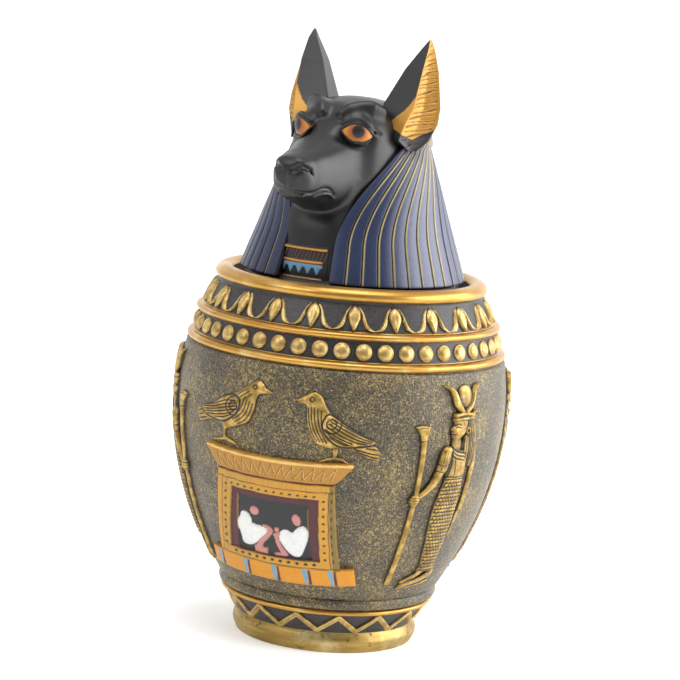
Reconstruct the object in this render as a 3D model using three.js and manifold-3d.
// Canopic jar with a jackal-headed lid, a painted cast-resin copy of an ancient Egyptian kind.
// Two pieces: the hollow jar with its mouldings and reliefs, and the lid that rests in its mouth.
// Millimetres, +Z up, origin at the middle of the jar's underside, the shrine relief facing -Y.
import * as THREE from 'three';
import { mergeVertices } from 'three/addons/utils/BufferGeometryUtils.js';
import Module from 'manifold-3d';

// ---------------------------------------------------------------- driving dimensions
const TOTAL_HEIGHT = 260;
const TURN_STEPS = 28;
const WALL = 6;

// jar, from the foot up: heights and radii of the mouldings
const BASE = { top: 8.8, radius: 40, round: 2.6 };
const CHEVRON_BAND = { low: 8.8, high: 17.8, radiusLow: 38.6, radiusHigh: 43.6 };
const FOOT_RING = { low: 17.8, high: 20.2, radius: 46.2 };
const FOOT_MOULDING = { low: 20.4, high: 25.2, radius: 47.4 };
const BELLY = { low: 25.4, high: 125.6, widest: 104, radius: 70.8, under: 0.00375, over: 0.0045 };
const LOWER_RING = { low: 126.3, high: 129.6, radius: 68.6 };
const BEAD_BAND = { low: 129.8, high: 138.2, radiusLow: 65.4, radiusHigh: 63.4 };
const UPPER_RING = { low: 138.3, high: 141.4, radius: 65.4 };
const LOTUS_BAND = { low: 141.6, high: 153, radiusLow: 62.2, radiusHigh: 56.4 };
const RIM = { low: 153.2, crest: 158.6, radius: 58.4, crestRadius: 54.2, inner: 50.6, innerTop: 156.4 };
const LEDGE = { height: 153, radius: 44.2, below: 147 };
const FLOOR = { height: 8, radius: 30 };

// repeated ornament on the bands
const BEADS = { count: 45, radius: 3.5, height: 134, rise: 2.2, phase: 2.6 };
const LOTUS = { count: 22, top: 151.6, tip: 143.2, spread: 5.6, rise: 1.2, phase: 6 };
const CHEVRONS = { count: 15, top: 16.6, foot: 9.8, bar: 1.2, rise: 1.1, phase: 4.2 };

// reliefs on the belly
const SINK = 1.2;
const LEAF_SINK = 0.6;
const FOLLOW_STEP = 20;
const SHRINE = { azimuth: -3, halfWidth: 27, low: 39, high: 78.6, frame: 7, rise: 2.2, picture: 0.6 };
const CORNICE = { low: 78.6, high: 87.4, halfLow: 27.5, halfHigh: 33.6, rise: 3.4 };
const STEP = { low: 31.8, high: 39, halfWidth: 35, rise: 2.6 };
const BIRDS = { left: -20.5, right: 19.5, droop: 6 };
const STAFF = { azimuth: 48.5, low: 33.5, high: 105, radius: 1.5, rise: 1.8 };
const GODDESS = { azimuth: 65, rise: 2.6 };

// lid
const LID_TURN = -8;
const LID_GAP = 0.3;
const SPIGOT = { radius: 43.4, low: 146.4 };
const LID_FOOT = { low: LEDGE.height + LID_GAP, radius: 46.2 };
const WIG = { skirt: 158.4, skirtRadius: 48.2, cheek: 215, slope: 0.346, crown: 232, wall: 6 };
const STRIPES = { perSide: 20, depth: 0.7 };
const OPENING = { right: 16.5, left: 13.5 };
const BIB = { centre: -2.4, halfWidth: 10.8, rise: 0.7, lines: [158.4, 165.7, 171] };

// ---------------------------------------------------------------- solids and joins
const wasm = await Module();
wasm.setup();

function signedVolume(positions, triangles) {
  let sum = 0;
  const a = new THREE.Vector3();
  const b = new THREE.Vector3();
  const c = new THREE.Vector3();
  for (let i = 0; i < triangles.length; i += 3) {
    a.fromArray(positions, 3 * triangles[i]);
    b.fromArray(positions, 3 * triangles[i + 1]);
    c.fromArray(positions, 3 * triangles[i + 2]);
    sum += a.dot(b.cross(c));
  }
  return sum / 6;
}

// a closed three.js geometry as a solid, its faces turned outwards
function solid(geometry) {
  const bare = geometry.index ? geometry.toNonIndexed() : geometry.clone();
  bare.deleteAttribute('normal');
  bare.deleteAttribute('uv');
  const merged = mergeVertices(bare, 1e-4);
  const positions = new Float32Array(merged.attributes.position.array);
  const triangles = [];
  const index = merged.index.array;
  for (let i = 0; i < index.length; i += 3) {
    const [a, b, c] = [index[i], index[i + 1], index[i + 2]];
    if (a !== b && b !== c && a !== c) triangles.push(a, b, c);
  }
  if (signedVolume(positions, triangles) < 0) triangles.reverse();
  const triVerts = new Uint32Array(triangles);
  return new wasm.Manifold(new wasm.Mesh({ numProp: 3, vertProperties: positions, triVerts }));
}

function union(solids) {
  let parts = solids;
  while (parts.length > 1) {
    const next = [];
    for (let i = 0; i < parts.length; i += 2) {
      next.push(i + 1 < parts.length ? parts[i].add(parts[i + 1]) : parts[i]);
    }
    parts = next;
  }
  return parts[0];
}

function geometryOf(body) {
  const mesh = body.getMesh();
  const geometry = new THREE.BufferGeometry();
  const positions = Float32Array.from(mesh.vertProperties);
  geometry.setAttribute('position', new THREE.BufferAttribute(positions, 3));
  geometry.setIndex(new THREE.BufferAttribute(Uint32Array.from(mesh.triVerts), 1));
  geometry.computeVertexNormals();
  return geometry;
}

// a closed skin over rings of equally many points, flat at both ends
function loft(rings) {
  const count = rings[0].length;
  const middle = (ring) => ring.reduce((sum, p) => sum.add(p), new THREE.Vector3()).divideScalar(count);
  const points = [...rings.flat(), middle(rings[0]), middle(rings[rings.length - 1])];
  const first = rings.length * count;
  const index = [];
  for (let r = 0; r + 1 < rings.length; r += 1) {
    for (let i = 0; i < count; i += 1) {
      const j = (i + 1) % count;
      const [a, b, c, d] = [r * count + i, r * count + j, (r + 1) * count + i, (r + 1) * count + j];
      index.push(a, b, d, a, d, c);
    }
  }
  const last = (rings.length - 1) * count;
  for (let i = 0; i < count; i += 1) {
    const j = (i + 1) % count;
    index.push(first, j, i, first + 1, last + i, last + j);
  }
  const geometry = new THREE.BufferGeometry().setFromPoints(points);
  geometry.setIndex(index);
  return solid(geometry);
}

// ---------------------------------------------------------------- the jar's wall
const lerp = THREE.MathUtils.lerp;
const radians = THREE.MathUtils.degToRad;

function bandRadius(band, z) {
  const t = THREE.MathUtils.clamp((z - band.low) / (band.high - band.low), 0, 1);
  return lerp(band.radiusLow, band.radiusHigh, t);
}

function bellyRadius(z) {
  const bow = z < BELLY.widest ? BELLY.under : BELLY.over;
  return BELLY.radius - bow * (z - BELLY.widest) ** 2;
}

function wallRadius(z) {
  if (z < BELLY.low) return bandRadius(CHEVRON_BAND, z);
  if (z < BELLY.high) return bellyRadius(z);
  if (z < BEAD_BAND.high) return bandRadius(BEAD_BAND, z);
  return bandRadius(LOTUS_BAND, z);
}

// a point on the wall: azimuth in degrees from the front, across in mm round the wall, out in mm
function onWall(azimuth, across, z, out) {
  const radius = wallRadius(z);
  const angle = radians(azimuth) + across / radius;
  return new THREE.Vector3((radius + out) * Math.sin(angle), -(radius + out) * Math.cos(angle), z);
}

function halfRound(ring, inner, steps) {
  const points = [];
  for (let i = 0; i <= steps; i += 1) {
    const angle = -Math.PI / 2 + (Math.PI * i) / steps;
    const z = (ring.low + ring.high) / 2 + ((ring.high - ring.low) / 2) * Math.sin(angle);
    points.push(new THREE.Vector2(inner + (ring.radius - inner) * Math.cos(angle), z));
  }
  return points;
}

function jarOutline() {
  const at = (radius, height) => new THREE.Vector2(radius, height);
  const baseBulge = halfRound({ low: 0, high: BASE.top, radius: BASE.radius }, BASE.radius - BASE.round, 3);
  const outline = [at(0, 0), ...baseBulge];
  outline.push(at(CHEVRON_BAND.radiusLow, CHEVRON_BAND.low + 0.4));
  outline.push(at(CHEVRON_BAND.radiusHigh, CHEVRON_BAND.high - 0.3));
  outline.push(at(FOOT_RING.radius - 0.6, FOOT_RING.low), at(FOOT_RING.radius, FOOT_RING.high - 0.7));
  outline.push(...halfRound(FOOT_MOULDING, FOOT_RING.radius - 0.6, 2));
  const bellySteps = 6;
  for (let i = 0; i <= bellySteps; i += 1) {
    const z = lerp(BELLY.low + 0.3, BELLY.high, i / bellySteps);
    outline.push(at(bellyRadius(z), z));
  }
  outline.push(...halfRound(LOWER_RING, BEAD_BAND.radiusLow + 1.4, 2));
  outline.push(at(BEAD_BAND.radiusLow, BEAD_BAND.low + 0.2), at(BEAD_BAND.radiusHigh, BEAD_BAND.high - 0.2));
  outline.push(...halfRound(UPPER_RING, LOTUS_BAND.radiusLow + 1.4, 2));
  outline.push(at(LOTUS_BAND.radiusLow, LOTUS_BAND.low + 0.2), at(LOTUS_BAND.radiusHigh, LOTUS_BAND.high));
  outline.push(at(RIM.radius - 1, RIM.low), at(RIM.radius, lerp(RIM.low, RIM.crest, 0.45)));
  outline.push(at(lerp(RIM.crestRadius, RIM.radius, 0.7), RIM.crest - 0.9), at(RIM.crestRadius, RIM.crest));
  outline.push(at(RIM.inner, RIM.innerTop));
  outline.push(at(RIM.inner, LEDGE.height), at(LEDGE.radius, LEDGE.height), at(LEDGE.radius, LEDGE.below));
  const hollow = [134, 119, 100, 78, 54, 30];
  hollow.forEach((z) => outline.push(at(hollowRadius(z), z)));
  outline.push(at(FLOOR.radius, FLOOR.height), at(0, FLOOR.height));
  return outline;
}

// the inner face follows the outer one, a wall's thickness inside the lowest parts of the bands
function hollowRadius(z) {
  if (z > BELLY.high) return bandRadius(LOTUS_BAND, z) - WALL;
  return Math.min(bellyRadius(z), BELLY.radius - 2.5) - WALL;
}

function turned(outline) {
  return solid(new THREE.LatheGeometry(outline, TURN_STEPS).rotateX(Math.PI / 2));
}

// ---------------------------------------------------------------- raised work on the wall
// extra stations between far ones, so that long work follows the wall's curve
function followed(path) {
  const stations = [path[0]];
  for (let i = 1; i < path.length; i += 1) {
    const steps = Math.ceil(Math.abs(path[i][1] - path[i - 1][1]) / FOLLOW_STEP);
    for (let k = 1; k <= steps; k += 1) {
      stations.push(path[i].map((value, n) => lerp(path[i - 1][n], value, k / steps)));
    }
    if (steps === 0) stations.push(path[i]);
  }
  return stations;
}

// a rounded raised stroke along a path of [across, height, half width, rise]
function stroke(azimuth, path, facets) {
  const stations = followed(path);
  const rings = stations.map(([across, z, half, rise], i) => {
    const before = stations[Math.max(i - 1, 0)];
    const after = stations[Math.min(i + 1, stations.length - 1)];
    const along = new THREE.Vector2(after[0] - before[0], after[1] - before[1]).normalize();
    const ring = [];
    for (let k = 0; k <= facets; k += 1) {
      const angle = (Math.PI * k) / facets;
      const side = half * Math.cos(angle);
      const out = (rise + SINK) * Math.sin(angle) - SINK;
      ring.push(onWall(azimuth, across - side * along.y, z + side * along.x, out));
    }
    return ring;
  });
  return loft(rings);
}

// a raised plate on the wall between two heights, its half width changing from bottom to top
function plate(azimuth, low, high, halfLow, halfHigh, rise, sunk = SINK) {
  const columns = 4;
  const rows = Math.ceil((high - low) / FOLLOW_STEP);
  const rings = [];
  for (let i = 0; i <= columns; i += 1) {
    const t = (2 * i) / columns - 1;
    const face = (out) => {
      const line = [];
      for (let k = 0; k <= rows; k += 1) {
        line.push(onWall(azimuth, t * lerp(halfLow, halfHigh, k / rows), lerp(low, high, k / rows), out));
      }
      return line;
    };
    rings.push([...face(rise), ...face(-sunk).reverse()]);
  }
  return loft(rings);
}

// a low pyramid on the wall: [across, height] of its corners in order, and its peak with a rise
function pyramid(azimuth, corners, peak) {
  const count = corners.length;
  const foot = corners.map(([across, z]) => onWall(azimuth, across, z, -LEAF_SINK));
  const index = [];
  for (let i = 0; i < count; i += 1) index.push(i, (i + 1) % count, count, (i + 1) % count, i, count + 1);
  const points = [...foot, onWall(azimuth, ...peak), onWall(azimuth, peak[0], peak[1], -SINK)];
  const geometry = new THREE.BufferGeometry().setFromPoints(points);
  geometry.setIndex(index);
  return solid(geometry);
}

// a raised leaf with a middle rib: its two ends, its two flanks and its peak
function leaf(azimuth, ends, flanks, peak) {
  return pyramid(azimuth, [ends[0], flanks[0], ends[1], flanks[1]], peak);
}

function bead(azimuth) {
  const sides = 5;
  const { height, radius, rise } = BEADS;
  const corners = [];
  for (let i = 0; i < sides; i += 1) {
    const angle = (2 * Math.PI * i) / sides;
    corners.push([radius * Math.cos(angle), height + radius * Math.sin(angle)]);
  }
  return pyramid(azimuth, corners, [0, height, rise]);
}

// a hanging lotus: a pointed middle petal between two that sweep outwards
function lotus(azimuth) {
  const { top, tip, spread, rise } = LOTUS;
  const middle = lerp(tip, top, 0.5);
  const petals = [leaf(azimuth, [[0, top], [0, tip]], [[1.9, middle], [-1.9, middle]], [0, middle, rise])];
  for (const side of [-1, 1]) {
    const ends = [[side * 0.7, top], [side * spread, tip]];
    const flanks = [[side * 2.1, middle - 1], [side * 4, middle + 1.4]];
    petals.push(leaf(azimuth, ends, flanks, [side * 3, middle + 0.4, rise]));
  }
  return petals;
}

function chevron(azimuth) {
  const half = (Math.PI * CHEVRON_BAND.radiusLow) / CHEVRONS.count - 0.4;
  const { top, foot, bar, rise } = CHEVRONS;
  const middle = (top + foot) / 2;
  return [-1, 1].map((side) => {
    const [outer, inner] = [half / 2 + 0.5 * bar, half / 2 - 0.5 * bar];
    const flanks = [[side * outer, middle + bar], [side * inner, middle - bar]];
    return leaf(azimuth, [[side * half, foot], [0, top]], flanks, [(side * half) / 2, middle, rise]);
  });
}

// a shrine front: cornice, frame round a sunk window, and a step below; the back one is closed
function shrine(azimuth, open) {
  const { halfWidth, low, high, frame, rise, picture } = SHRINE;
  const front = plate(azimuth, low - 0.5, high + 0.5, halfWidth, halfWidth, rise);
  const innerHalf = halfWidth - frame;
  const [sill, head] = [low + 0.7 * frame, high - frame];
  const window = plate(azimuth, sill, head, innerHalf, innerHalf, rise + 2, -picture);
  return [
    open ? front.subtract(window) : front,
    plate(azimuth, CORNICE.low, CORNICE.high, CORNICE.halfLow, CORNICE.halfHigh, CORNICE.rise),
    plate(azimuth, STEP.low, STEP.high, STEP.halfWidth, STEP.halfWidth, STEP.rise),
  ];
}

// a figure seated on the ground, knees drawn up, facing the middle of the window
function seatedFigure(azimuth, side) {
  const at = (across, z, half, rise) => [side * across, z, half, rise];
  return [
    stroke(azimuth, [at(14.6, 60, 2.2, 1), at(12, 50.5, 4.8, 1.8), at(6, 53, 2.8, 1.2)], 3),
    stroke(azimuth, [at(9.2, 66.8, 1.8, 1.2), at(9.9, 62, 2.1, 1.3)], 2),
    stroke(azimuth, [at(3.4, 53.4, 1.6, 1.2), at(6, 46.6, 1.7, 1.2)], 2),
  ];
}

// a bird standing on the cornice; facing is 1 to look towards +across, droop lowers its tail
function bird(azimuth, facing, droop) {
  const ground = CORNICE.high;
  const at = (across, height, ...rest) => [facing * across, ground + height, ...rest];
  return [
    stroke(azimuth, [at(-18.5, 11 - droop, 1.8, 0.7), at(-9, 13.6 - 0.5 * droop, 4.2, 1.9),
      at(1, 16, 6.4, 2.7), at(9, 23, 3.8, 2.4), at(11.8, 28, 1.8, 1.6)], 3),
    leaf(azimuth, [at(9, 26.6), at(19, 26.2)], [at(11.6, 24.8), at(11.6, 28.6)], at(11.6, 26.6, 2.2)),
    leaf(azimuth, [at(6, 19), at(-16, 11.4 - 0.8 * droop)], [at(0, 11.8), at(-2, 18)], at(0, 15.4, 3.6)),
    stroke(azimuth, [at(0.4, 11, 0.9, 1), at(0, 0.4, 0.8, 1)], 2),
    leaf(azimuth, [at(-3.4, 0.6), at(4.6, 0.6)], [at(0, 0), at(0, 1.6)], at(0, 0.7, 1)),
  ];
}

// a standing goddess in a long dress with a horned disc for a crown, her near arm reaching to a staff;
// those at the back are plainer
function goddess(azimuth, facing, plain) {
  const at = (across, z, ...rest) => [facing * across, z, ...rest];
  const { rise } = GODDESS;
  const reach = radians(GODDESS.azimuth - STAFF.azimuth) * wallRadius(74);
  const figure = [
    stroke(azimuth, [at(-2.8, 34, 3.4, 1.6), at(-0.8, 67, 6.1, rise), at(0, 80, 5.2, rise),
      at(0.4, 94, 7, rise), at(0.4, 99, 2.6, rise)], 3),
    stroke(azimuth, [at(-1, 97.5, 3.4, rise), at(0.2, 104.5, 4.6, rise + 0.4),
      at(0, 111.5, 3.8, rise)], plain ? 2 : 3),
    leaf(azimuth, [at(0, 110), at(0, 122)], [at(-3.9, 117), at(3.9, 117)], at(0, 117, 2)),
    leaf(azimuth, [at(-6.5, 34.6), at(9.6, 33.4)], [at(-2, 32.4), at(-2, 38)], at(-2, 34.8, 1.8)),
  ];
  if (plain) return figure;
  return [
    ...figure,
    leaf(azimuth, [at(-0.6, 110.8), at(-9, 121.6)], [at(-6.6, 113.6), at(-4.8, 116)], at(-5.2, 114.6, 1.4)),
    leaf(azimuth, [at(0.6, 110.8), at(9, 121.6)], [at(6.6, 113.6), at(4.8, 116)], at(5.2, 114.6, 1.4)),
    stroke(azimuth, [at(5, 95, 2.4, rise), at(9.6, 82.6, 2, rise), at(reach, 74, 1.7, 2.6)], 2),
  ];
}

function staff(azimuth) {
  const { low, high, radius, rise } = STAFF;
  return [stroke(azimuth, [[0, low, radius, rise], [0, high - 10, radius, rise],
    [0, high, 2 * radius, rise]], 2)];
}

function jar() {
  const raised = [];
  for (let i = 0; i < BEADS.count; i += 1) raised.push(bead(BEADS.phase + (360 * i) / BEADS.count));
  for (let i = 0; i < LOTUS.count; i += 1) raised.push(...lotus(LOTUS.phase + (360 * i) / LOTUS.count));
  for (let i = 0; i < CHEVRONS.count; i += 1) {
    raised.push(...chevron(CHEVRONS.phase + (360 * i) / CHEVRONS.count));
  }
  raised.push(...shrine(SHRINE.azimuth, true), ...shrine(180, false));
  raised.push(...seatedFigure(SHRINE.azimuth, -1), ...seatedFigure(SHRINE.azimuth, 1));
  raised.push(...bird(BIRDS.left, 1, 0), ...bird(BIRDS.right, -1, BIRDS.droop));
  for (const side of [-1, 1]) {
    raised.push(...staff(side * STAFF.azimuth), ...staff(180 + side * STAFF.azimuth));
    raised.push(...goddess(side * GODDESS.azimuth, -side, false));
    raised.push(...goddess(180 + side * GODDESS.azimuth, -side, true));
  }
  return turned(jarOutline()).add(union(raised));
}

// ---------------------------------------------------------------- the lid
// the wig opens in front: how much wider that opening is on each side at a height
function openingGrowth(z) {
  return 0.034 * Math.max(0, z - 174) ** 1.95;
}

function wigRadius(z) {
  const cone = WIG.skirtRadius - WIG.slope * (z - WIG.skirt);
  if (z <= WIG.cheek) return cone;
  const t = (z - WIG.cheek) / (WIG.crown - WIG.cheek);
  const cheekRadius = WIG.skirtRadius - WIG.slope * (WIG.cheek - WIG.skirt);
  return cheekRadius * Math.sqrt(Math.max(0, 1 - t * t)) + 1;
}

function wig() {
  const levels = [WIG.skirt, 177, 190, 202, 214, 225, WIG.crown];
  const steps = 4 * STRIPES.perSide;
  const rings = levels.map((z) => {
    const radius = wigRadius(z);
    const right = OPENING.right + openingGrowth(z);
    const left = OPENING.left + openingGrowth(z);
    const at = (angle, r) => {
      const turn = radians(angle);
      return new THREE.Vector3(r * Math.sin(turn), -r * Math.cos(turn), z);
    };
    const ring = [];
    for (let i = 0; i <= steps; i += 1) {
      const groove = i % 2 === 0 ? STRIPES.depth : 0;
      ring.push(at(lerp(right, 360 - left, i / steps), radius - groove));
    }
    ring.push(...[-left, 0, right].map((angle) => at(angle, radius - WIG.wall)));
    return ring;
  });
  return loft(rings);
}

// a rounded-square ring of points about a middle, in the plane of two directions
function squircle(middle, right, up, halfWidth, above, below, power, count = 12) {
  const ring = [];
  for (let i = 0; i < count; i += 1) {
    const angle = (2 * Math.PI * (i + 0.5)) / count;
    const [c, s] = [Math.cos(angle), Math.sin(angle)];
    const x = halfWidth * Math.sign(c) * Math.abs(c) ** (2 / power);
    const reach = s > 0 ? above : below;
    const y = reach * Math.sign(s) * Math.abs(s) ** (2 / power);
    ring.push(middle.clone().addScaledVector(right, x).addScaledVector(up, y));
  }
  return ring;
}

const RIGHT = new THREE.Vector3(1, 0, 0);
const FORWARD = new THREE.Vector3(0, -1, 0);
const UP = new THREE.Vector3(0, 0, 1);

// head stations: forward of the axis, top, bottom, half width, squareness
const HEAD = [
  [-14, 231, 200, 19, 2.2],
  [0, 233.6, 188.5, 24, 2.3],
  [16, 233.2, 186.2, 23.6, 2.4],
  [25, 230, 185.6, 20.4, 2.5],
  [31, 224.6, 185.8, 16.2, 2.6],
  [38, 218.4, 187, 14.4, 2.6],
  [46, 214.8, 189, 12.4, 2.6],
  [55, 212, 191.8, 10, 2.6],
  [60.4, 209.6, 194.4, 7.8, 2.4],
  [62.6, 206.6, 198.2, 5, 2],
];

function head() {
  return loft(HEAD.map(([forward, top, bottom, half, power]) => {
    const half2 = (top - bottom) / 2;
    const middle = new THREE.Vector3(0, -forward, (top + bottom) / 2);
    return squircle(middle, RIGHT, UP, half, half2, half2, power);
  }));
}

// neck stations: height, front surface forward of the axis, half width; its sides end in the wig
const NECK = [[154, 42.6, 19], [172, 42.4, 19], [181, 41, 18.6], [188, 38, 18], [198, 34, 18]];
const NECK_BACK = 4;
const NECK_POWER = 2.8;

function neck() {
  return loft(NECK.map(([z, front, half]) => {
    const reach = (front - NECK_BACK) / 2;
    const middle = new THREE.Vector3(0, -NECK_BACK - reach, z);
    return squircle(middle, RIGHT, FORWARD, half, reach, reach, NECK_POWER);
  }));
}

// how far forward the neck stands at a distance to the side, at the height of the pendant collar
function neckFront(x) {
  const [, front, half] = NECK[0];
  const reach = (front - NECK_BACK) / 2;
  return NECK_BACK + reach + reach * (1 - Math.abs(x / half) ** NECK_POWER) ** (1 / NECK_POWER);
}

// the pendant collar's raised lines
function bibLine(z) {
  const rings = [-1, -0.5, 0.2, 1].map((t) => {
    const x = BIB.centre + t * BIB.halfWidth;
    const front = neckFront(x) + BIB.rise;
    return [[front - 3, -0.7], [front, -0.6], [front, 0.6], [front - 3, 0.7]]
      .map(([forward, dz]) => new THREE.Vector3(x, -forward, z + dz));
  });
  return loft(rings);
}

// ear sections: height, then [outwards, forward] of the inner ridge, the front edge, the hollow side,
// the back edge and the inner back
const EAR_SECTIONS = [
  [213.5, [27, 11], [28.5, 12], [29.5, 10.5], [30, 8.5], [27.5, 8]],
  [218, [20, 14], [25.5, 17], [29.4, 11.5], [33.4, 4.5], [24, -1]],
  [225, [14.6, 11.6], [27, 14.6], [30.6, 8.2], [36, 2.4], [17.4, -5]],
  [232, [13.4, 9.4], [28.7, 11.4], [31, 5.8], [36, 1], [16, -5]],
  [247, [19.8, 4.8], [29.2, 6.9], [30.3, 3.2], [33, -0.6], [21.5, -4]],
  [256, [25.2, 1.6], [28.9, 2.6], [29.1, 1.2], [30.2, -0.8], [26, -2.2]],
  [TOTAL_HEIGHT, [27.5, -0.5], [28, -0.1], [28.2, -0.5], [28.2, -0.9], [27.6, -1]],
];

function ear(side) {
  return loft(EAR_SECTIONS.map(([z, ...corners]) => corners.map(([out, forward]) => (
    new THREE.Vector3(side * out, -forward, z)))));
}

// a rounded lump: eye, brow, nose pad
function lump(x, forward, z, width, depth, height, turn) {
  const ball = new THREE.SphereGeometry(1, 8, 5);
  ball.rotateX(Math.PI / 2).scale(width, depth, height).rotateZ(radians(turn)).translate(x, -forward, z);
  return solid(ball);
}

function lid() {
  const pieces = [wig(), head(), neck(), ear(-1), ear(1)];
  BIB.lines.forEach((z) => pieces.push(bibLine(z)));
  pieces.push(lump(0, 59.6, 206.4, 7.2, 4, 4.4, 0));
  for (const side of [-1, 1]) {
    pieces.push(lump(side * 12.6, 29.6, 219.4, 7, 3.2, 4.2, side * 32));
    pieces.push(lump(side * 12, 28.6, 225.6, 8, 3.6, 2.4, side * 32));
  }
  const top = WIG.skirt + 0.4;
  const stepped = [[0, SPIGOT.low], [SPIGOT.radius, SPIGOT.low], [SPIGOT.radius, LID_FOOT.low],
    [LID_FOOT.radius, LID_FOOT.low], [LID_FOOT.radius, top], [0, top]];
  pieces.push(turned(stepped.map(([radius, z]) => new THREE.Vector2(radius, z))));
  return union(pieces);
}

// ---------------------------------------------------------------- the object
function part(name, body, settings) {
  const mesh = new THREE.Mesh(geometryOf(body), new THREE.MeshStandardMaterial(settings));
  mesh.name = name;
  return mesh;
}

const object = new THREE.Group();
object.add(part('jar', jar(), { color: 0x4a4126, roughness: 0.45, metalness: 0.35 }));
const lidMesh = part('lid', lid(), { color: 0x23242c, roughness: 0.35, metalness: 0.1 });
lidMesh.rotation.z = radians(LID_TURN);
object.add(lidMesh);

export default object;
